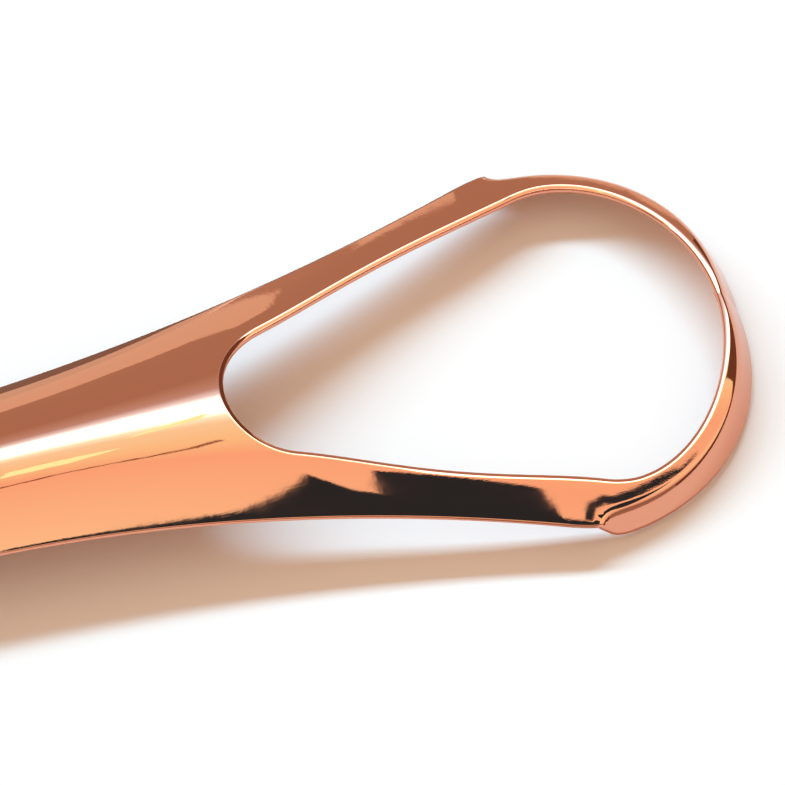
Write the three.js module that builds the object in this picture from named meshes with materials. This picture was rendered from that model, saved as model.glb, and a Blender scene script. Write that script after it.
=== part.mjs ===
// A tongue scraper pressed from one sheet of stainless steel: an arched handle that opens out into
// a teardrop loop, with a scraping flange turned down round the front of the loop.
//
// Millimetres. +X runs from the handle's tail to the front of the loop, +Y is across, +Z is up.
// While the shape is worked out, x = 0 is the kink line, where the arms end and the flange begins.
import * as THREE from "three";

// The sheet.
const SHEET = 0.9; // thickness
const OUTER_ROLL = 0.45; // how far from an outer edge the top face starts to roll over
const OPENING_ROLL = 0.6; // the same at the opening, where more has been polished away
const ROLL_SHARE = 0.35; // the most of a strip's width that its roll-over takes
const ROLL_DROP = 0.35; // what a roll-over drops, for each millimetre of its width
const CORNER = 0.07; // bevel between a roll-over and the cut edge
const BURR_ROUND = 0.2; // radius left on the lower corner of a cut edge

// The outer outline, seen from above.
const KINK_HALF_WIDTH = 22.25; // half the loop's width on the kink line
const LOOP_REACH = 21.3; // kink line to the front of the loop
const LOOP_SQUARENESS = 2.08; // 2 would be a plain ellipse
const LOOP_SHOULDER = 1.3; // how much fuller the loop is at its shoulders
const WAIST_X = -69.5; // where the handle is narrowest
const FLARE_RADIUS = 186; // of the long arc that takes the waist out to the kink line
const KINK_BLEND = 0.9; // depth over which the corner at the kink line is rounded
const TAIL_X = -123.5;

// The opening, seen from above.
const OPENING_FRONT_X = 5.35; // centre of the front curve
const OPENING_FRONT_LENGTH = 14;
const OPENING_FRONT_WIDTH = 18.15;
const OPENING_SQUARENESS = 1.86;
const OPENING_REAR_X = -23.85; // centre of the rear arc
const OPENING_REAR_RADIUS = 8.05;
const OPENING_SIDE_BOW = 0.6; // how far the sides of the opening bow outward

// The side view: heights of the top face along the outer edge, above the flange's lowest edge.
const KINK_HEIGHT = 2.9;
const CROWN_HEIGHT = 6.06; // highest point of the handle's outer edge
const CROWN_X = -62.8;
const TAIL_HEIGHT = 0.76; // of the outer edge where the rounded end of the tail begins
const ARCH_RISE = 4; // middle of the arch above its own edges
const TAIL_ARCH_RISE = 2.6;

// The flange at the front of the loop.
const FRONT_LIFT = 3.4; // how much the loop's top is turned up again towards its front
const FLANGE_SLOPE = 2.2; // drop per millimetre outward, at the sides
const FRONT_STEEPENING = 0.9; // how much steeper it is at the front
const FLANGE_RUNOUT_HEIGHT = 8; // to which the flange's edge climbs at the kink line
const FLANGE_RUNOUT_POWER = 45; // how suddenly it climbs there
const CREASE_BLEND = 1; // depth over which the crease above the flange is rounded

// How finely the surface is divided.
const TOP_SPANS = 8;
const UNDERSIDE_SPANS = 5;
const ROLL_SPANS = 3;
const BURR_SPANS = 2;
const TAIL_SPANS = 5;
const HANDLE_SPANS = 14;
const REAR_ARC_SPANS = 7;
const SIDE_SPANS = 14;
const FRONT_SPANS = 22;

const SMALL_STEP = 1e-3; // over which slopes are taken
const BISECTIONS = 40;
const MERGE_STEPS_PER_MM = 1e4; // points closer than one of these steps are one point

const QUARTER_TURN = Math.PI / 2;
const WAIST_HALF_WIDTH = KINK_HALF_WIDTH - WAIST_X ** 2 / (2 * FLARE_RADIUS);
const ARM_SPLAY = -WAIST_X / FLARE_RADIUS; // slope of the outer edge as it reaches the kink line
const CAP_X = TAIL_X + WAIST_HALF_WIDTH; // where the rounded end of the tail begins

// The lower of two heights, with the corner between them rounded over `blend`.
function smoothMin(a, b, blend) {
  const overlap = Math.max(blend - Math.abs(a - b), 0) / blend;
  return Math.min(a, b) - (overlap ** 2 * blend) / 4;
}

// What the rounding of the kink takes off the outline's half width.
function kinkRounding(x) {
  const corner = ARM_SPLAY - LOOP_SHOULDER / KINK_HALF_WIDTH;
  return (KINK_BLEND / 4) * Math.max(0, 1 - (Math.abs(x) * corner) / KINK_BLEND) ** 2;
}

// Half width of the handle and arms, behind the kink line.
function armHalfWidth(x) {
  const flare = Math.max(x - WAIST_X, 0) ** 2 / (2 * FLARE_RADIUS);
  return WAIST_HALF_WIDTH + flare - kinkRounding(x);
}

// Distance of the outer outline from the middle of the kink line, in the direction `angle`.
function loopRadius(angle) {
  const along = Math.abs(Math.cos(angle) / LOOP_REACH) ** LOOP_SQUARENESS;
  const across = Math.abs(Math.sin(angle) / KINK_HALF_WIDTH) ** LOOP_SQUARENESS;
  const shoulder = LOOP_SHOULDER * Math.sin(angle) * Math.cos(angle);
  const radius = (along + across) ** (-1 / LOOP_SQUARENESS) + shoulder;
  return radius - kinkRounding(radius * Math.cos(angle));
}

// Height of the outer edge of the handle and arms: two parabolas that meet at the crown.
function edgeHeight(x) {
  const fallAhead = (CROWN_HEIGHT - KINK_HEIGHT) / CROWN_X ** 2;
  const fallBehind = (CROWN_HEIGHT - TAIL_HEIGHT) / (CAP_X - CROWN_X) ** 2;
  return CROWN_HEIGHT - (x > CROWN_X ? fallAhead : fallBehind) * (x - CROWN_X) ** 2;
}

function archRise(x) {
  const toTail = THREE.MathUtils.smoothstep(WAIST_X - x, 0, WAIST_X - TAIL_X);
  return THREE.MathUtils.lerp(ARCH_RISE, TAIL_ARCH_RISE, toTail);
}

// Height of the sheet's top face.
function height(x, y) {
  if (x <= 0) return edgeHeight(x) + archRise(x) * (1 - (y / armHalfWidth(x)) ** 2);
  const angle = Math.atan2(Math.abs(y), x);
  const radius = Math.hypot(x, y);
  const rim = loopRadius(angle);
  const forward = Math.cos(angle) ** 2;
  const top = edgeHeight(x) + ARCH_RISE * (1 - (radius / rim) ** 2) + FRONT_LIFT * forward;
  const runout = FLANGE_RUNOUT_HEIGHT * (angle / QUARTER_TURN) ** FLANGE_RUNOUT_POWER;
  const slope = FLANGE_SLOPE + FRONT_STEEPENING * forward;
  return smoothMin(top, runout + slope * (rim - radius), CREASE_BLEND);
}

// A point `depth` below the top face, measured square to the face, under the place (x, y).
function sheetPoint(x, y, depth) {
  const step = SMALL_STEP;
  const slopeX = (height(x + step, y) - height(x - step, y)) / (2 * step);
  const slopeY = y === 0 ? 0 : (height(x, y + step) - height(x, y - step)) / (2 * step);
  const normal = new THREE.Vector3(-slopeX, -slopeY, 1).normalize();
  return new THREE.Vector3(x, y, height(x, y)).addScaledVector(normal, -depth);
}

// An edge of the sheet in plan: where it is, and which way points out of the metal.
function edge(x, y, outX, outY) {
  const length = Math.hypot(outX, outY);
  return { x, y, outX: outX / length, outY: outY / length };
}

// The place `inset` inside an edge, measured along the sloping face.
function insetFrom(edgePoint, inset) {
  const { x, y, outX, outY } = edgePoint;
  const step = SMALL_STEP;
  const rise = height(x + step * outX, y + step * outY) - height(x - step * outX, y - step * outY);
  const plan = inset / Math.hypot(1, rise / (2 * step));
  return { x: x - plan * outX, y: Math.max(y - plan * outY, 0) };
}

// Points round a cut edge, from the top face to the underside, both ends included.
function rimPoints(edgePoint, roll) {
  const drop = ROLL_DROP * roll;
  const points = [];
  for (let i = 0; i <= ROLL_SPANS; i++) {
    const share = i / ROLL_SPANS;
    const place = insetFrom(edgePoint, THREE.MathUtils.lerp(roll, CORNER, share));
    points.push(sheetPoint(place.x, place.y, drop * share ** 2));
  }
  points.push(sheetPoint(edgePoint.x, edgePoint.y, drop + CORNER));
  for (let i = 0; i <= BURR_SPANS; i++) {
    const turn = (QUARTER_TURN * i) / BURR_SPANS;
    const place = insetFrom(edgePoint, BURR_ROUND * (1 - Math.cos(turn)));
    points.push(sheetPoint(place.x, place.y, SHEET - BURR_ROUND * (1 - Math.sin(turn))));
  }
  return points;
}

// Points across a face between two places, both ends left out.
function facePoints(from, to, spans, depth) {
  return Array.from({ length: spans - 1 }, (_, i) => {
    const share = (i + 1) / spans;
    const x = THREE.MathUtils.lerp(from.x, to.x, share);
    return sheetPoint(x, THREE.MathUtils.lerp(from.y, to.y, share), depth);
  });
}

// Width of the roll-over along the opening, where the strip between it and the outer edge is this.
function openingRoll(outer, inner) {
  return Math.min(OPENING_ROLL, ROLL_SHARE * Math.hypot(outer.x - inner.x, outer.y - inner.y));
}

// One cross-section of the half with y >= 0: top face outward, round the outer edge, underside
// inward and, where the opening has been reached, up its edge again.
function section(outer, inner) {
  const roll = inner ? openingRoll(outer, inner) : 0;
  const rim = rimPoints(outer, OUTER_ROLL);
  const topOuter = insetFrom(outer, OUTER_ROLL);
  const lowOuter = insetFrom(outer, BURR_ROUND);
  const topInner = inner ? insetFrom(inner, roll) : { x: topOuter.x, y: 0 };
  const lowInner = inner ? insetFrom(inner, BURR_ROUND) : { x: lowOuter.x, y: 0 };
  const points = [
    sheetPoint(topInner.x, topInner.y, 0),
    ...facePoints(topInner, topOuter, TOP_SPANS, 0),
    ...rim,
    ...facePoints(lowOuter, lowInner, UNDERSIDE_SPANS, SHEET),
    sheetPoint(lowInner.x, lowInner.y, SHEET),
  ];
  if (inner) points.push(...rimPoints(inner, roll).reverse().slice(1));
  return points;
}

// A point of the opening's front curve; `turn` runs from 0 at the front back past a quarter turn.
function openingFront(turn) {
  const cos = Math.cos(turn);
  const sin = Math.sin(turn);
  const reach = Math.sign(cos) * Math.abs(cos) ** (2 / OPENING_SQUARENESS);
  const normalPower = 2 - 2 / OPENING_SQUARENESS;
  const x = OPENING_FRONT_X + OPENING_FRONT_LENGTH * reach;
  const y = OPENING_FRONT_WIDTH * sin ** (2 / OPENING_SQUARENESS);
  const inX = (-Math.sign(cos) * Math.abs(cos) ** normalPower) / OPENING_FRONT_LENGTH;
  return edge(x, y, inX, -(sin ** normalPower) / OPENING_FRONT_WIDTH);
}

// The turn at which the front curve's edge has swung round to lean `lean` back from straight out.
function frontTurnLeaning(lean) {
  const ratio = (Math.tan(lean) * OPENING_FRONT_LENGTH) / OPENING_FRONT_WIDTH;
  const normalPower = 2 - 2 / OPENING_SQUARENESS;
  return QUARTER_TURN + Math.atan(ratio ** (1 / normalPower));
}

// A point of the arc at the rear of the opening; half a turn is its rearmost point.
function openingRear(turn) {
  const cos = Math.cos(turn);
  const sin = Math.sin(turn);
  const x = OPENING_REAR_X + OPENING_REAR_RADIUS * cos;
  return edge(x, OPENING_REAR_RADIUS * sin, -cos, -sin);
}

// How far the opening's sides lean, so that one line touches the rear arc and the front curve.
function openingLean() {
  let low = 0;
  let high = QUARTER_TURN / 2;
  for (let i = 0; i < BISECTIONS; i++) {
    const lean = (low + high) / 2;
    const { x, y } = openingFront(frontTurnLeaning(lean));
    const reach = y * Math.cos(lean) - (x - OPENING_REAR_X) * Math.sin(lean);
    if (reach > OPENING_REAR_RADIUS) low = lean;
    else high = lean;
  }
  return low;
}

// The outer edge of an arm, `x` ahead of the kink line.
function armEdge(x) {
  const step = SMALL_STEP;
  const slope = (armHalfWidth(x + step) - armHalfWidth(x - step)) / (2 * step);
  return edge(x, armHalfWidth(x), -slope, 1);
}

// The outer edge of the loop in the direction `angle`.
function loopEdge(angle) {
  const step = SMALL_STEP;
  const growth = (loopRadius(angle + step) - loopRadius(angle - step)) / (2 * step);
  const turnRate = angle === 0 ? 0 : growth;
  const radius = loopRadius(angle);
  const cos = Math.cos(angle);
  const sin = Math.sin(angle);
  return edge(
    radius * cos,
    radius * sin,
    radius * cos + turnRate * sin,
    radius * sin - turnRate * cos,
  );
}

// The outer edge beside (x, y): straight across from it in the arms, on a ray from the middle of
// the kink line in the loop.
function outerEdgeBeside(x, y) {
  return x <= 0 ? armEdge(x) : loopEdge(Math.atan2(y, x));
}

// `spans` steps from one value towards another, the last value left out.
function steps(from, to, spans) {
  return Array.from({ length: spans }, (_, i) => from + ((to - from) * i) / spans);
}

// All the cross-sections, from the tail to the front of the loop.
function crossSections() {
  const lean = openingLean();
  const rearEnd = QUARTER_TURN + lean;
  const frontStart = frontTurnLeaning(lean);
  const apexX = OPENING_REAR_X - OPENING_REAR_RADIUS - OPENING_ROLL;
  const sideFrom = openingRear(rearEnd);
  const sideTo = openingFront(frontStart);

  const tail = steps(0, QUARTER_TURN, TAIL_SPANS).map((turn) => {
    const cos = Math.cos(turn);
    const sin = Math.sin(turn);
    return section(edge(CAP_X - WAIST_HALF_WIDTH * cos, WAIST_HALF_WIDTH * sin, -cos, sin));
  });
  const handle = steps(CAP_X, apexX, HANDLE_SPANS).map((x) => section(armEdge(x)));
  const rear = steps(0, 1, REAR_ARC_SPANS).map((share) => {
    const outerX = THREE.MathUtils.lerp(apexX, sideFrom.x, share);
    return section(armEdge(outerX), openingRear(THREE.MathUtils.lerp(Math.PI, rearEnd, share)));
  });
  const side = steps(0, 1, SIDE_SPANS).map((share) => {
    const bow = OPENING_SIDE_BOW * (4 * share * (1 - share)) ** 2;
    const x = THREE.MathUtils.lerp(sideFrom.x, sideTo.x, share) - bow * Math.sin(lean);
    const y = THREE.MathUtils.lerp(sideFrom.y, sideTo.y, share) + bow * Math.cos(lean);
    return section(outerEdgeBeside(x, y), edge(x, y, Math.sin(lean), -Math.cos(lean)));
  });
  const front = [...steps(frontStart, 0, FRONT_SPANS), 0].map((turn) => {
    const inner = openingFront(turn);
    return section(outerEdgeBeside(inner.x, inner.y), inner);
  });
  return [...tail, ...handle, ...rear, ...side, ...front];
}

// One closed skin over the cross-sections and their mirror image in y.
function skin(sections) {
  const numbers = new Map();
  const positions = [];
  const triangles = [];
  const numberOf = ({ x, y, z }) => {
    const key = [x, y, z].map((value) => Math.round(value * MERGE_STEPS_PER_MM)).join();
    if (!numbers.has(key)) {
      numbers.set(key, numbers.size);
      positions.push(x, y, z);
    }
    return numbers.get(key);
  };
  const addTriangle = (...corners) => {
    const [a, b, c] = corners.map(numberOf);
    if (a !== b && b !== c && c !== a) triangles.push(a, b, c);
  };
  const mirrored = ({ x, y, z }) => ({ x, y: -y, z });
  for (let i = 0; i + 1 < sections.length; i++) {
    const [near, far] = [sections[i], sections[i + 1]];
    for (let j = 0; j + 1 < Math.min(near.length, far.length); j++) {
      const corners = [near[j], far[j], far[j + 1], near[j + 1]];
      const opposite = corners.map(mirrored);
      addTriangle(corners[0], corners[1], corners[2]);
      addTriangle(corners[0], corners[2], corners[3]);
      addTriangle(opposite[0], opposite[2], opposite[1]);
      addTriangle(opposite[0], opposite[3], opposite[2]);
    }
  }
  const geometry = new THREE.BufferGeometry();
  geometry.setAttribute("position", new THREE.Float32BufferAttribute(positions, 3));
  geometry.setIndex(triangles);
  return geometry;
}

const geometry = skin(crossSections());

// The part's own frame: middle of the footprint, on the table.
geometry.computeBoundingBox();
const middle = geometry.boundingBox.getCenter(new THREE.Vector3());
geometry.translate(-middle.x, -middle.y, -geometry.boundingBox.min.z);
geometry.computeVertexNormals();

const roseGoldSteel = new THREE.MeshStandardMaterial({
  color: 0xd8906c,
  metalness: 1,
  roughness: 0.12,
});

const scraper = new THREE.Mesh(geometry, roseGoldSteel);
scraper.name = "scraper_body";

const part = new THREE.Group();
part.name = "tongue_scraper";
part.add(scraper);

export default part;
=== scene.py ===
"""The looks of a tongue scraper pressed from one sheet of rose-gold-coloured, mirror-polished steel.

The sheet's shape is worked out in millimetres, as in the CAD source: x = 0 is the kink line, where
the arms end and the flange begins, +X runs to the front of the loop, +Y is across and +Z is up.
"""

import math

import bpy
import numpy as np
from mathutils import Matrix, Vector


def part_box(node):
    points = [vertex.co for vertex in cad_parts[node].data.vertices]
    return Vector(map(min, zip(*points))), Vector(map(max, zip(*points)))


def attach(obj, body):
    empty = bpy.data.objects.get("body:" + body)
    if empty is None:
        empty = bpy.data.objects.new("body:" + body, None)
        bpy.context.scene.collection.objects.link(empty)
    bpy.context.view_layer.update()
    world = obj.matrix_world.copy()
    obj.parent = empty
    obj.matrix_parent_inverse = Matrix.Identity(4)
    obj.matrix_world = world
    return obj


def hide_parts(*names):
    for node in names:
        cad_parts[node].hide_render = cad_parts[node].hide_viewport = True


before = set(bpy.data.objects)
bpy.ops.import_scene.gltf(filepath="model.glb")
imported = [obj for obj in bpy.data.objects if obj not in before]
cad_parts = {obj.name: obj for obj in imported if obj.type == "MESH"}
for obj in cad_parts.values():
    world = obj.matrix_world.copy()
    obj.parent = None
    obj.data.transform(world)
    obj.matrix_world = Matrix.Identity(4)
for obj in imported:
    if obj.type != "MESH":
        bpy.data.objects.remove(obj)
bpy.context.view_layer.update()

MM = 0.001  # one millimetre, in metres
QUARTER_TURN = math.pi / 2

# The sheet.
SHEET = 0.9  # thickness
OUTER_ROLL = 0.45  # how far from an outer edge the top face starts to roll over
OPENING_ROLL = 0.6  # the same at the opening, where more has been polished away
ROLL_SHARE = 0.35  # the most of a strip's width that its roll-over takes
ROLL_DROP = 0.35  # what a roll-over drops, for each millimetre of its width
CORNER = 0.07  # bevel between a roll-over and the cut edge
BURR_ROUND = 0.2  # radius left on the lower corner of a cut edge

# The outer outline, seen from above.
KINK_HALF_WIDTH = 22.25  # half the loop's width on the kink line
LOOP_REACH = 21.3  # kink line to the front of the loop
LOOP_SQUARENESS = 2.08  # 2 would be a plain ellipse
LOOP_SHOULDER = 1.3  # how much fuller the loop is at its shoulders
WAIST_X = -69.5  # where the handle is narrowest
FLARE_RADIUS = 186.0  # of the long arc that takes the waist out to the kink line
KINK_BLEND = 0.9  # depth over which the corner at the kink line is rounded
TAIL_X = -123.5

# The opening, seen from above.
OPENING_FRONT_X = 5.35  # centre of the front curve
OPENING_FRONT_LENGTH = 14.0
OPENING_FRONT_WIDTH = 18.15
OPENING_SQUARENESS = 1.86
OPENING_REAR_X = -23.85  # centre of the rear arc
OPENING_REAR_RADIUS = 8.05
OPENING_SIDE_BOW = 0.6  # how far the sides of the opening bow outward

# The side view: heights of the top face along the outer edge.
KINK_HEIGHT = 2.9
CROWN_HEIGHT = 6.06  # highest point of the handle's outer edge
CROWN_X = -62.8
TAIL_HEIGHT = 0.76  # of the outer edge where the rounded end of the tail begins
ARCH_RISE = 4.0  # middle of the arch above its own edges
TAIL_ARCH_RISE = 2.6

# The flange at the front of the loop.
FRONT_LIFT = 3.4  # how much the loop's top is turned up again towards its front
FLANGE_SLOPE = 2.2  # drop per millimetre outward, at the sides
FRONT_STEEPENING = 0.9  # how much steeper it is at the front
FLANGE_RUNOUT_HEIGHT = 8.0  # to which the flange's edge climbs at the kink line
FLANGE_RUNOUT_POWER = 45  # how suddenly it climbs there
CREASE_BLEND = 1.0  # depth over which the crease above the flange is rounded

# How finely the surface is divided.
TOP_SPANS = 44
UNDERSIDE_SPANS = 26
ROLL_SPANS = 14
CORNER_SPANS = 3
BURR_SPANS = 5
TAIL_SPANS = 26
HANDLE_SPANS = 150
REAR_ARC_SPANS = 44
SIDE_SPANS = 80
FRONT_SPANS = 190

SMALL_STEP = 1e-3  # over which slopes are taken
BISECTIONS = 40
MERGE_DISTANCE = 1e-4

WAIST_HALF_WIDTH = KINK_HALF_WIDTH - WAIST_X**2 / (2 * FLARE_RADIUS)
ARM_SPLAY = -WAIST_X / FLARE_RADIUS  # slope of the outer edge as it reaches the kink line
CAP_X = TAIL_X + WAIST_HALF_WIDTH  # where the rounded end of the tail begins


def smooth_min(a, b, blend):
    """The lower of two heights, with the corner between them rounded over `blend`."""
    overlap = np.maximum(blend - np.abs(a - b), 0) / blend
    return np.minimum(a, b) - overlap**2 * blend / 4


def kink_rounding(x):
    """What the rounding of the kink takes off the outline's half width."""
    corner = ARM_SPLAY - LOOP_SHOULDER / KINK_HALF_WIDTH
    return KINK_BLEND / 4 * np.maximum(0, 1 - np.abs(x) * corner / KINK_BLEND) ** 2


def arm_half_width(x):
    """Half width of the handle and arms, behind the kink line."""
    flare = np.maximum(x - WAIST_X, 0) ** 2 / (2 * FLARE_RADIUS)
    return WAIST_HALF_WIDTH + flare - kink_rounding(x)


def loop_radius(angle):
    """Distance of the outer outline from the middle of the kink line, in the direction `angle`."""
    along = np.abs(np.cos(angle) / LOOP_REACH) ** LOOP_SQUARENESS
    across = np.abs(np.sin(angle) / KINK_HALF_WIDTH) ** LOOP_SQUARENESS
    shoulder = LOOP_SHOULDER * np.sin(angle) * np.cos(angle)
    radius = (along + across) ** (-1 / LOOP_SQUARENESS) + shoulder
    return radius - kink_rounding(radius * np.cos(angle))


def edge_height(x):
    """Height of the outer edge of the handle and arms: two parabolas that meet at the crown."""
    fall_ahead = (CROWN_HEIGHT - KINK_HEIGHT) / CROWN_X**2
    fall_behind = (CROWN_HEIGHT - TAIL_HEIGHT) / (CAP_X - CROWN_X) ** 2
    return CROWN_HEIGHT - np.where(x > CROWN_X, fall_ahead, fall_behind) * (x - CROWN_X) ** 2


def arch_rise(x):
    """How far the middle of the arch stands above its edges: less and less towards the tail."""
    share = np.clip((WAIST_X - x) / (WAIST_X - TAIL_X), 0, 1)
    to_tail = share * share * (3 - 2 * share)
    return ARCH_RISE + (TAIL_ARCH_RISE - ARCH_RISE) * to_tail


def height(x, y):
    """Height of the sheet's top face."""
    arm = edge_height(x) + arch_rise(x) * (1 - (y / arm_half_width(x)) ** 2)
    ahead = np.maximum(x, 0)
    angle = np.arctan2(np.abs(y), ahead)
    radius = np.hypot(ahead, y)
    rim = loop_radius(angle)
    forward = np.cos(angle) ** 2
    top = edge_height(ahead) + ARCH_RISE * (1 - (radius / rim) ** 2) + FRONT_LIFT * forward
    runout = FLANGE_RUNOUT_HEIGHT * (angle / QUARTER_TURN) ** FLANGE_RUNOUT_POWER
    slope = FLANGE_SLOPE + FRONT_STEEPENING * forward
    loop = smooth_min(top, runout + slope * (rim - radius), CREASE_BLEND)
    return np.where(x <= 0, arm, loop)


def sheet_point(x, y, depth):
    """The point `depth` below the top face, square to the face, under the place (x, y)."""
    step = SMALL_STEP
    slope_x = (height(x + step, y) - height(x - step, y)) / (2 * step)
    slope_y = np.where(y == 0, 0, (height(x, y + step) - height(x, y - step)) / (2 * step))
    drop = depth / np.sqrt(1 + slope_x**2 + slope_y**2)
    return np.stack([x + slope_x * drop, y + slope_y * drop, height(x, y) - drop], axis=-1)


def edge(x, y, out_x, out_y):
    """Points of a cut edge in plan, and which way points out of the metal: rows x, y, out x, out y."""
    x, y, out_x, out_y = np.broadcast_arrays(*(np.asarray(v, float) for v in (x, y, out_x, out_y)))
    length = np.hypot(out_x, out_y)
    return np.stack([x, y, out_x / length, out_y / length])


def inset_from(edge_points, inset):
    """The places `inset` inside an edge, measured along the sloping face: a column for each inset."""
    x, y, out_x, out_y = (row[:, None] for row in edge_points)
    step = SMALL_STEP
    ahead = height(x + step * out_x, y + step * out_y)
    rise = ahead - height(x - step * out_x, y - step * out_y)
    plan = inset / np.hypot(1, rise / (2 * step))
    return x - plan * out_x, np.maximum(y - plan * out_y, 0)


def rim_points(edge_points, roll):
    """Points round a cut edge, from the top face to the underside, both ends included. `roll` is a
    column with the width of each point's roll-over."""
    drop = ROLL_DROP * roll
    share = np.linspace(0, 1, ROLL_SPANS + 1)
    corner = np.linspace(0, 1, CORNER_SPANS + 1)[1:]
    turn = np.linspace(0, QUARTER_TURN, BURR_SPANS + 1)
    rolled = inset_from(edge_points, roll + (CORNER - roll) * share)
    bevel = inset_from(edge_points, CORNER * (1 - corner))
    lower = inset_from(edge_points, BURR_ROUND * (1 - np.cos(turn)))
    return np.concatenate(
        [
            sheet_point(*rolled, drop * share**2),
            sheet_point(*bevel, drop + CORNER * (corner + corner**2) / 2),
            sheet_point(*lower, SHEET - BURR_ROUND * (1 - np.sin(turn))),
        ],
        axis=1,
    )


def face_points(start, end, spans, depth, first=1):
    """Points across a face between two places, the last left out, and the first too by default."""
    share = np.arange(first, spans) / spans
    x = start[0] + (end[0] - start[0]) * share
    y = start[1] + (end[1] - start[1]) * share
    return sheet_point(x, y, depth)


def opening_roll(outer, inner):
    """Widths of the roll-over along the opening, as a column, from the strip's width there."""
    strip = np.hypot(outer[0] - inner[0], outer[1] - inner[1])
    return np.minimum(OPENING_ROLL, ROLL_SHARE * strip)[:, None]


def sections(outer, inner=None):
    """Cross-sections of the half with y >= 0, one row of points each: top face outward, round the
    outer edge, underside inward and, where there is an opening, up its edge again."""
    top_outer = inset_from(outer, OUTER_ROLL)
    low_outer = inset_from(outer, BURR_ROUND)
    if inner is None:
        top_inner = top_outer[0], 0 * top_outer[1]
        low_inner = low_outer[0], 0 * low_outer[1]
    else:
        roll = opening_roll(outer, inner)
        top_inner = inset_from(inner, roll)
        low_inner = inset_from(inner, BURR_ROUND)
    parts = [
        face_points(top_inner, top_outer, TOP_SPANS, 0, first=0),
        rim_points(outer, OUTER_ROLL),
        face_points(low_outer, low_inner, UNDERSIDE_SPANS, SHEET),
        sheet_point(*low_inner, SHEET),
    ]
    if inner is not None:
        parts.append(rim_points(inner, roll)[:, -2::-1])
    return np.concatenate(parts, axis=1)


def opening_front(turn):
    """Points of the opening's front curve; `turn` runs from 0 at the front to past a quarter turn."""
    cos = np.cos(turn)
    sin = np.abs(np.sin(turn))
    reach = np.sign(cos) * np.abs(cos) ** (2 / OPENING_SQUARENESS)
    normal_power = 2 - 2 / OPENING_SQUARENESS
    x = OPENING_FRONT_X + OPENING_FRONT_LENGTH * reach
    y = OPENING_FRONT_WIDTH * sin ** (2 / OPENING_SQUARENESS)
    in_x = -np.sign(cos) * np.abs(cos) ** normal_power / OPENING_FRONT_LENGTH
    return edge(x, y, in_x, -(sin**normal_power) / OPENING_FRONT_WIDTH)


def front_turn_leaning(lean):
    """The turn at which the front curve's edge has swung round to lean `lean` back."""
    ratio = math.tan(lean) * OPENING_FRONT_LENGTH / OPENING_FRONT_WIDTH
    normal_power = 2 - 2 / OPENING_SQUARENESS
    return QUARTER_TURN + math.atan(ratio ** (1 / normal_power))


def opening_rear(turn):
    """Points of the arc at the rear of the opening; half a turn is its rearmost point."""
    cos = np.cos(turn)
    sin = np.sin(turn)
    return edge(OPENING_REAR_X + OPENING_REAR_RADIUS * cos, OPENING_REAR_RADIUS * sin, -cos, -sin)


def opening_lean():
    """How far the opening's sides lean, so that one line touches the rear arc and the front curve."""
    low = 0
    high = QUARTER_TURN / 2
    for _ in range(BISECTIONS):
        lean = (low + high) / 2
        x, y = opening_front(front_turn_leaning(lean))[:2]
        reach = y * math.cos(lean) - (x - OPENING_REAR_X) * math.sin(lean)
        low, high = (lean, high) if reach > OPENING_REAR_RADIUS else (low, lean)
    return low


def arm_edge(x):
    """The outer edge of an arm, `x` ahead of the kink line."""
    slope = (arm_half_width(x + SMALL_STEP) - arm_half_width(x - SMALL_STEP)) / (2 * SMALL_STEP)
    return edge(x, arm_half_width(x), -slope, 1)


def loop_edge(angle):
    """The outer edge of the loop in the direction `angle`."""
    growth = (loop_radius(angle + SMALL_STEP) - loop_radius(angle - SMALL_STEP)) / (2 * SMALL_STEP)
    turn_rate = np.where(angle == 0, 0, growth)
    radius = loop_radius(angle)
    cos = np.cos(angle)
    sin = np.sin(angle)
    out_x = radius * cos + turn_rate * sin
    return edge(radius * cos, radius * sin, out_x, radius * sin - turn_rate * cos)


def outer_edge_beside(x, y):
    """The outer edge beside (x, y): straight across from it in the arms, on a ray from the middle
    of the kink line in the loop."""
    return np.where(x <= 0, arm_edge(x), loop_edge(np.arctan2(y, np.maximum(x, 0))))


def half_sections():
    """The cross-sections without an opening, then those with one."""
    lean = opening_lean()
    rear_end = QUARTER_TURN + lean
    front_start = front_turn_leaning(lean)
    apex_x = OPENING_REAR_X - OPENING_REAR_RADIUS - OPENING_ROLL

    turn = np.linspace(0, QUARTER_TURN, TAIL_SPANS, endpoint=False)
    cap_x = CAP_X - WAIST_HALF_WIDTH * np.cos(turn)
    tail = edge(cap_x, WAIST_HALF_WIDTH * np.sin(turn), -np.cos(turn), np.sin(turn))
    handle = arm_edge(np.linspace(CAP_X, apex_x, HANDLE_SPANS, endpoint=False))
    solid = sections(np.concatenate([tail, handle], axis=1))

    share = np.linspace(0, 1, REAR_ARC_SPANS, endpoint=False)
    side_from = opening_rear(rear_end)
    side_to = opening_front(front_start)
    rear_outer = arm_edge(apex_x + (side_from[0] - apex_x) * share)
    rear_inner = opening_rear(math.pi + (rear_end - math.pi) * share)

    share = np.linspace(0, 1, SIDE_SPANS, endpoint=False)
    bow = OPENING_SIDE_BOW * (4 * share * (1 - share)) ** 2
    x = side_from[0] + (side_to[0] - side_from[0]) * share - bow * math.sin(lean)
    y = side_from[1] + (side_to[1] - side_from[1]) * share + bow * math.cos(lean)
    side_outer = outer_edge_beside(x, y)
    side_inner = edge(x, y, math.sin(lean), -math.cos(lean))

    front_inner = opening_front(np.linspace(front_start, 0, FRONT_SPANS + 1))
    front_outer = outer_edge_beside(front_inner[0], front_inner[1])
    outer = np.concatenate([rear_outer, side_outer, front_outer], axis=1)
    inner = np.concatenate([rear_inner, side_inner, front_inner], axis=1)
    return solid, sections(outer, inner)


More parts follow.
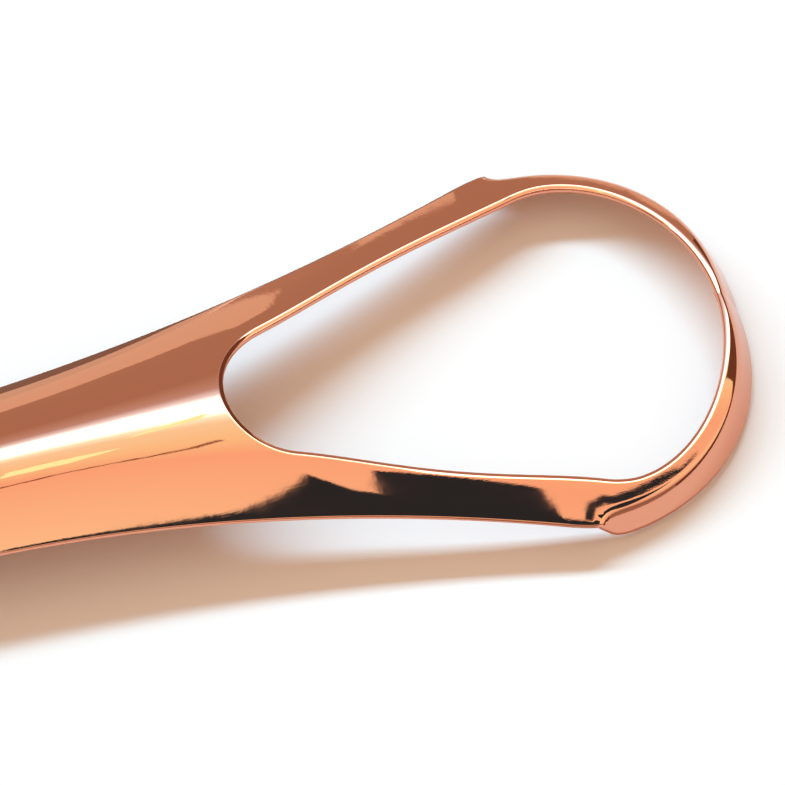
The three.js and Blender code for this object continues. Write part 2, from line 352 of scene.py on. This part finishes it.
def grid_faces(sections_across):
    """The quads between neighbouring points of neighbouring cross-sections, as corner points."""
    near = sections_across[:-1]
    far = sections_across[1:]
    corners = [near[:, :-1], far[:, :-1], far[:, 1:], near[:, 1:]]
    return np.stack(corners, axis=2).reshape(-1, 4, 3)


def keep_bend(mesh):
    """Keeps how sharply the surface bends at each vertex, per mm, as the attribute "bend"."""
    points = np.empty(len(mesh.vertices) * 3)
    normals = np.empty(len(mesh.vertices) * 3)
    ends = np.empty(len(mesh.edges) * 2, dtype=np.int32)
    mesh.vertices.foreach_get("co", points)
    mesh.vertices.foreach_get("normal", normals)
    mesh.edges.foreach_get("vertices", ends)
    points = points.reshape(-1, 3)
    normals = normals.reshape(-1, 3)
    start, end = ends.reshape(-1, 2).T
    span = points[end] - points[start]
    length = np.linalg.norm(span, axis=1)
    bend = np.zeros(len(points))
    reach = np.zeros(len(points))
    for here, away in ((start, span), (end, -span)):
        np.add.at(bend, here, -(away * normals[here]).sum(axis=1) / length)
        np.add.at(reach, here, length)
    mesh.attributes.new("bend", "FLOAT", "POINT").data.foreach_set("value", bend / reach)


def sheet_mesh(name):
    """The whole scraper as one closed mesh, in millimetres, smooth shaded."""
    solid, open_loop = half_sections()
    junction = solid[-1:, : open_loop.shape[1]]
    joined = np.concatenate([junction, open_loop[:1, : junction.shape[1]]])
    half = np.concatenate([grid_faces(part) for part in (solid, joined, open_loop)])
    mirrored = (half * [1, -1, 1])[:, ::-1]
    corners = np.concatenate([half, mirrored]).reshape(-1, 3)
    keys = np.round(corners / MERGE_DISTANCE).astype(np.int64)
    _, first, number = np.unique(keys, axis=0, return_index=True, return_inverse=True)
    faces = []
    for quad in number.reshape(-1, 4).tolist():
        face = list(dict.fromkeys(quad))
        if len(face) > 2:
            faces.append(face)
    mesh = bpy.data.meshes.new(name)
    mesh.from_pydata(corners[first].tolist(), [], faces)
    mesh.polygons.foreach_set("use_smooth", [True] * len(faces))
    mesh.update()
    keep_bend(mesh)
    return mesh


# The piece, put where the CAD node is: same middle, resting at the same height.
mesh = sheet_mesh("scraper")
points = np.array([vertex.co for vertex in mesh.vertices])
low, high = points.min(axis=0), points.max(axis=0)
node_low, node_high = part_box("scraper_body")
to_row = Vector(
    (
        (node_low.x + node_high.x) / 2 - (low[0] + high[0]) / 2 * MM,
        (node_low.y + node_high.y) / 2 - (low[1] + high[1]) / 2 * MM,
        node_low.z - low[2] * MM,
    )
)
mesh.transform(Matrix.Translation(to_row) @ Matrix.Scale(MM, 4))
scraper = bpy.data.objects.new("scraper", mesh)
bpy.context.scene.collection.objects.link(scraper)

# The camera. It looks down on the loop from the near side, a little tilted.
CAMERA_AZIMUTH = math.radians(-10.95)
CAMERA_ELEVATION = math.radians(57.1)
CAMERA_ROLL = -0.095
CAMERA_DISTANCE = 1000.0
PIXELS_PER_MM = 9.896  # at the aim point
IMAGE_SIDE = 785
SENSOR_WIDTH = 36.0
CLIPPING = (0.01, 100.0)  # nearest and farthest that is drawn, in metres
AIM = Vector((-7.87, 0, 0))  # a point on the table under the arms, in the shape's own frame
AIM_RIGHT = 6.96  # how far right of the aim point the middle of the view is, in mm
AIM_UP = 0.77


def make_camera():
    azimuth, elevation = CAMERA_AZIMUTH, CAMERA_ELEVATION
    back = Vector(
        (
            math.sin(azimuth) * math.cos(elevation),
            -math.cos(azimuth) * math.cos(elevation),
            math.sin(elevation),
        )
    )
    level = Vector((math.cos(azimuth), math.sin(azimuth), 0))
    right = level * math.cos(CAMERA_ROLL) + back.cross(level) * math.sin(CAMERA_ROLL)
    up = back.cross(right)
    aim = to_row + AIM * MM
    place = aim + back * CAMERA_DISTANCE * MM
    middle = aim - (right * AIM_RIGHT + up * AIM_UP) * MM
    back = (place - middle).normalized()
    right = up.cross(back).normalized()
    up = back.cross(right)
    data = bpy.data.cameras.new("camera")
    data.sensor_width = SENSOR_WIDTH
    data.lens = PIXELS_PER_MM * CAMERA_DISTANCE / IMAGE_SIDE * SENSOR_WIDTH
    data.clip_start, data.clip_end = CLIPPING
    camera = bpy.data.objects.new("camera", data)
    turn = Matrix((right, up, back)).transposed().to_4x4()
    camera.matrix_world = Matrix.Translation(place) @ turn
    bpy.context.scene.collection.objects.link(camera)
    bpy.context.scene.camera = camera


make_camera()


# The metal: mirror-polished steel with a rose-gold coating.
COATING = (0.745, 0.315, 0.2)
WORN_COATING = (0.80, 0.42, 0.29)  # along the sharpest edges, where it has been rubbed thin
WORN_BEND = (0.5, 2.5)  # per mm, where the wear begins and where it is complete
POLISH = (0.015, 0.06)  # roughness, where it is cleanest and where it is most rubbed
SMUDGE_SIZE = 9.0  # mm, along the handle and up; half as much across
SMUDGE_RANGE = (0.4, 0.75)  # of the smudges' noise, taken to the range of POLISH
RIPPLE_SIZE = 1.6  # mm, of the slight unevenness that pressing leaves
RIPPLE_HEIGHT = 0.0014  # mm
SCRATCH_LENGTH = 9.0  # mm, along the handle
SCRATCH_SPACING = 0.12  # mm
SCRATCH_HEIGHT = 0.0006  # mm
PITTING_SIZE = 0.35  # mm
PITTING_HEIGHT = 0.00035  # mm
SMUDGE_DETAIL = 5  # octaves of each noise
RIPPLE_DETAIL = 1
SCRATCH_DETAIL = 3
PITTING_DETAIL = 2


def mixed(tree, factor, a, b):
    """Two colours mixed; each is a socket, or three numbers."""
    mix = tree.nodes.new("ShaderNodeMix")
    mix.data_type = "RGBA"
    tree.links.new(factor, mix.inputs["Factor"])
    for name, colour in (("A", a), ("B", b)):
        if isinstance(colour, bpy.types.NodeSocket):
            tree.links.new(colour, mix.inputs[name])
        else:
            mix.inputs[name].default_value = (*colour, 1)
    return mix.outputs["Result"]


def noise(tree, sizes, detail):
    """The value of a noise whose features have these sizes, in mm, along x, y and z."""
    place = tree.nodes.new("ShaderNodeTexCoord")
    stretch = tree.nodes.new("ShaderNodeMapping")
    stretch.inputs["Scale"].default_value = [1 / (size * MM) for size in sizes]
    tree.links.new(place.outputs["Object"], stretch.inputs["Vector"])
    texture = tree.nodes.new("ShaderNodeTexNoise")
    texture.inputs["Scale"].default_value = 1
    texture.inputs["Detail"].default_value = detail
    tree.links.new(stretch.outputs[0], texture.inputs["Vector"])
    return texture.outputs["Fac"]


def ranged(tree, value, from_low, from_high, low, high):
    """A value taken smoothly from one range to another."""
    change = tree.nodes.new("ShaderNodeMapRange")
    change.interpolation_type = "SMOOTHSTEP"
    tree.links.new(value, change.inputs["Value"])
    change.inputs["From Min"].default_value = from_low
    change.inputs["From Max"].default_value = from_high
    change.inputs["To Min"].default_value = low
    change.inputs["To Max"].default_value = high
    return change.outputs["Result"]


def bumped(tree, value, height, under=None):
    """The normal of a surface raised by `value` times `height` mm, on top of the normal `under`."""
    bump = tree.nodes.new("ShaderNodeBump")
    bump.inputs["Distance"].default_value = height * MM
    tree.links.new(value, bump.inputs["Height"])
    if under is not None:
        tree.links.new(under, bump.inputs["Normal"])
    return bump.outputs["Normal"]


def metal_material():
    material = bpy.data.materials.new("polished_rose_gold_steel")
    material.use_nodes = True
    tree = material.node_tree
    shader = tree.nodes["Principled BSDF"]
    shader.inputs["Metallic"].default_value = 1

    bend = tree.nodes.new("ShaderNodeAttribute")
    bend.attribute_name = "bend"
    worn = ranged(tree, bend.outputs["Fac"], *WORN_BEND, 0, 1)
    tint = mixed(tree, worn, COATING, WORN_COATING)
    tree.links.new(tint, shader.inputs["Base Color"])

    smudges = noise(tree, (SMUDGE_SIZE, SMUDGE_SIZE / 2, SMUDGE_SIZE), SMUDGE_DETAIL)
    tree.links.new(ranged(tree, smudges, *SMUDGE_RANGE, *POLISH), shader.inputs["Roughness"])

    ripples = noise(tree, (RIPPLE_SIZE,) * 3, RIPPLE_DETAIL)
    rippled = bumped(tree, ripples, RIPPLE_HEIGHT)
    scratches = noise(tree, (SCRATCH_LENGTH, SCRATCH_SPACING, SCRATCH_SPACING), SCRATCH_DETAIL)
    scratched = bumped(tree, scratches, SCRATCH_HEIGHT, rippled)
    pits = noise(tree, (PITTING_SIZE,) * 3, PITTING_DETAIL)
    pitted = bumped(tree, pits, PITTING_HEIGHT, scratched)
    tree.links.new(pitted, shader.inputs["Normal"])
    return material


scraper.data.materials.append(metal_material())

# The table: a plain white sheet, whose far edge shows only in very low views.
TABLE_SIDE = 5.0  # in metres
TABLE_WHITE = 0.8
TABLE_ROUGHNESS = 0.9
TABLE_GAP = 0.25  # mm from the table up to the lowest point of the rim, so that it shows clear


def make_table():
    half = TABLE_SIDE / 2
    z = -TABLE_GAP * MM
    corners = [(-half, -half, z), (half, -half, z), (half, half, z), (-half, half, z)]
    mesh = bpy.data.meshes.new("table")
    mesh.from_pydata(corners, [], [(0, 1, 2, 3)])
    table = bpy.data.objects.new("table", mesh)
    bpy.context.scene.collection.objects.link(table)
    material = bpy.data.materials.new("table")
    material.use_nodes = True
    shader = material.node_tree.nodes["Principled BSDF"]
    shader.inputs["Base Color"].default_value = (TABLE_WHITE, TABLE_WHITE, TABLE_WHITE, 1)
    shader.inputs["Roughness"].default_value = TABLE_ROUGHNESS
    shader.inputs["Specular IOR Level"].default_value = 0
    mesh.materials.append(material)


make_table()

# The studio as the polished metal reflects it, by the angle above the far horizon: 0 is the far
# side, 90 straight up and 180 the near side. Dull surfaces get one even light from all round.
ROOM_PEAK = 6.0
ROOM = [
    (0.0, (0.60, 0.47, 0.38)),
    (14.0, (0.56, 0.44, 0.35)),
    (41.0, (0.55, 0.43, 0.35)),
    (46.0, (0.64, 0.56, 0.50)),
    (51.0, (0.72, 0.72, 0.78)),
    (55.0, (1.2, 1.9, 2.6)),
    (58.0, (3.0, 4.5, 6.0)),
    (61.0, (6.0, 6.0, 6.0)),
    (66.0, (6.0, 6.0, 6.0)),
    (69.0, (1.6, 2.6, 2.6)),
    (73.0, (1.31, 1.75, 1.40)),
    (84.0, (1.31, 1.50, 1.00)),
    (92.0, (1.30, 1.10, 0.84)),
    (135.0, (1.33, 1.50, 1.13)),
    (158.0, (1.20, 1.05, 0.85)),
    (168.0, (0.35, 0.25, 0.2)),
    (180.0, (0.5, 0.4, 0.35)),
]
BACKDROP = (0.93, 0.93, 0.93)
EVEN_LIGHT = (0.86, 0.58, 0.41)


def make_room():
    """Lights everything evenly, but shows the metal the ROOM and the camera a plain backdrop."""
    world = bpy.data.worlds.new("studio")
    world.use_nodes = True
    tree = world.node_tree
    nodes, link = tree.nodes, tree.links.new
    background = nodes["Background"]
    place = nodes.new("ShaderNodeTexCoord")
    split = nodes.new("ShaderNodeSeparateXYZ")
    link(place.outputs["Generated"], split.inputs[0])
    angle = nodes.new("ShaderNodeMath")
    angle.operation = "ARCTAN2"
    link(split.outputs["Z"], angle.inputs[0])
    link(split.outputs["Y"], angle.inputs[1])
    share = nodes.new("ShaderNodeMath")
    share.operation = "DIVIDE"
    share.inputs[1].default_value = math.pi
    link(angle.outputs[0], share.inputs[0])
    ramp = nodes.new("ShaderNodeValToRGB")
    stops = ramp.color_ramp.elements
    while len(stops) < len(ROOM):
        stops.new(1)
    for stop, (degrees, colour) in zip(stops, ROOM):
        stop.position = degrees / 180
        stop.color = (*(channel / ROOM_PEAK for channel in colour), 1)
    link(share.outputs[0], ramp.inputs[0])
    seen = nodes.new("ShaderNodeLightPath")
    even = [channel / ROOM_PEAK for channel in EVEN_LIGHT]
    reflected = mixed(tree, seen.outputs["Is Glossy Ray"], even, ramp.outputs["Color"])
    backdrop = [channel / ROOM_PEAK for channel in BACKDROP]
    shown = mixed(tree, seen.outputs["Is Camera Ray"], reflected, backdrop)
    link(shown, background.inputs["Color"])
    background.inputs["Strength"].default_value = ROOM_PEAK
    bpy.context.scene.world = world


make_room()

# Cards that only the polished metal reflects. Their outlines were read from what the metal
# in the photograph reflects. Each has a name, a colour, the axis that it stands square to, how far
# along that axis it stands, and its corners along the two other axes, in mm.
BLACK = (0.03, 0.055, 0.08)
DARK_BROWN = (0.2, 0.11, 0.07)
BROWN = (0.42, 0.24, 0.16)
GOLD = (1.34, 2.6, 1.7)
WHITE = (6.0, 6.0, 6.0)
PALE = (0.95, 0.90, 0.76)
DIM_TABLE = (0.84, 0.81, 0.69)
DARK_TABLE = (0.30, 0.25, 0.21)
OVERHEAD = ("z", 120.0)
LOW = ("z", 30.0)
FAR_SIDE = ("y", 300.0)
AHEAD = ("x", 300.0)
ON_TABLE = ("z", 0.3)
OVER_TABLE_CARD = ("z", 0.4)
CARDS = [
    (
        "black_card",
        BLACK,
        OVERHEAD,
        [(-12, -200), (-8, -125), (0, -103), (8, -85), (15, -72), (22, -57), (30, -40)]
        + [(33.5, -31), (34, -43), (36, -43), (42, -26), (50, -25), (60, -24), (55, -38)]
        + [(66, -37), (90, -60), (140, -90), (140, -300), (-12, -300)],
    ),
    (
        "dark_streak",
        BLACK,
        OVERHEAD,
        [(66, -37), (72, -28), (80, -25), (90, -27.5), (110, -30), (123, -27.5)]
        + [(110, -32), (90, -31), (80, -29.5), (74, -31), (70, -37)],
    ),
    (
        "brown_line",
        BROWN,
        OVERHEAD,
        [(-10, -17.5), (2, -11.5), (10, -6.5), (20, -2.5), (27, 2), (32, 8), (33, 7)]
        + [(27.5, 0.5), (20, -4), (10, -8), (2, -13), (-10, -19)],
    ),
    ("gold_streak", GOLD, OVERHEAD, [(2, 4), (12, 7), (20, 17), (14, 16), (4, 13)]),
    ("gold_edge", GOLD, OVERHEAD, [(22, 31), (34, 40), (36, 48), (26, 38)]),
    # Just over the table beyond the handle: painted reflection, so that the table there looks dimmer
    # in the metal.
    (
        "dark_table_card",
        DARK_TABLE,
        OVER_TABLE_CARD,
        [(-90, 11), (-18, 11), (20, 14.5), (50, 23), (58, 38), (50, 290), (20, 80), (-18, 24)]
        + [(-90, 24)],
    ),
    # Lying on the far table: painted reflection, so that the far table looks dimmer in the metal.
    ("dim_table_card", DIM_TABLE, ON_TABLE, [(-400, 20), (60, 20), (60, 295), (-400, 295)]),
    (
        "pale_card",
        PALE,
        FAR_SIDE,
        [(-300, 0), (-300, 78), (14, 78), (23, 75), (28, 71), (40, 74), (49, 94), (51, 84)]
        + [(45, 52), (36, 20), (30, 0)],
    ),
    (
        "pale_streak",
        PALE,
        FAR_SIDE,
        [(46, 35), (54, 62), (64, 80), (76, 102), (68, 80), (58, 58), (49, 35)],
    ),
    (
        "pale_corner",
        PALE,
        FAR_SIDE,
        [(118, 0), (124, 92), (150, 80), (180, 75), (260, 92), (500, 150), (500, 0)],
    ),
    ("low_card", WHITE, LOW, [(40, -12), (60, -12), (72, -8), (72, 0), (40, 0)]),
    (
        "side_card",
        DARK_BROWN,
        AHEAD,
        [(-300, 0), (300, 0), (300, 420), (80, 420), (-30, 60), (-300, 60)],
    ),
]


def card_corner(axis, offset, corner):
    """Where a corner of a card is, in metres."""
    place = list(corner)
    place.insert("xyz".index(axis), offset)
    return [value * MM for value in place]


def make_card(name, colour, corners):
    """A glowing card that neither lights nor shades anything dull."""
    mesh = bpy.data.meshes.new(name)
    mesh.from_pydata(corners, [], [tuple(range(len(corners)))])
    card = bpy.data.objects.new(name, mesh)
    card.visible_camera = False
    card.visible_diffuse = False
    card.visible_shadow = False
    card.visible_transmission = False
    bpy.context.scene.collection.objects.link(card)
    material = bpy.data.materials.new(name)
    material.use_nodes = True
    tree = material.node_tree
    glow = tree.nodes.new("ShaderNodeEmission")
    glow.inputs["Color"].default_value = (*(channel / ROOM_PEAK for channel in colour), 1)
    glow.inputs["Strength"].default_value = ROOM_PEAK
    tree.links.new(glow.outputs[0], tree.nodes["Material Output"].inputs["Surface"])
    mesh.materials.append(material)


for name, colour, (axis, offset), corners in CARDS:
    make_card(name, colour, [card_corner(axis, offset, corner) for corner in corners])

# The key light: a wide, low softbox, high on the far side. Sizes and distances are in metres.
KEY_DISTANCE = 3.0
KEY_ANGLE = math.radians(43)  # above the far horizon
KEY_SHIFT = 0.8  # towards the handle
KEY_TURN = math.radians(-11)  # which sets it parallel to the near arm
KEY_LENGTH = 4.5
KEY_HEIGHT = 0.36
KEY_RADIANCE = 30.5  # in watts per square metre and steradian
KEY_COLOUR = (0.5, 0.82, 1.0)


def make_key_light():
    data = bpy.data.lights.new("key", "AREA")
    data.shape = "RECTANGLE"
    data.size = KEY_LENGTH
    data.size_y = KEY_HEIGHT
    data.color = KEY_COLOUR
    data.energy = KEY_RADIANCE * math.pi * KEY_LENGTH * KEY_HEIGHT
    key = bpy.data.objects.new("key", data)
    towards = Vector((0, math.cos(KEY_ANGLE), math.sin(KEY_ANGLE)))
    key.location = towards * KEY_DISTANCE + Vector((-KEY_SHIFT, 0, 0))
    key.rotation_euler = (KEY_ANGLE - QUARTER_TURN, 0, KEY_TURN)
    key.visible_camera = False
    key.visible_glossy = False
    bpy.context.scene.collection.objects.link(key)


make_key_light()
bpy.context.scene.view_settings.view_transform = "Standard"

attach(scraper, "root")
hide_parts("scraper_body")
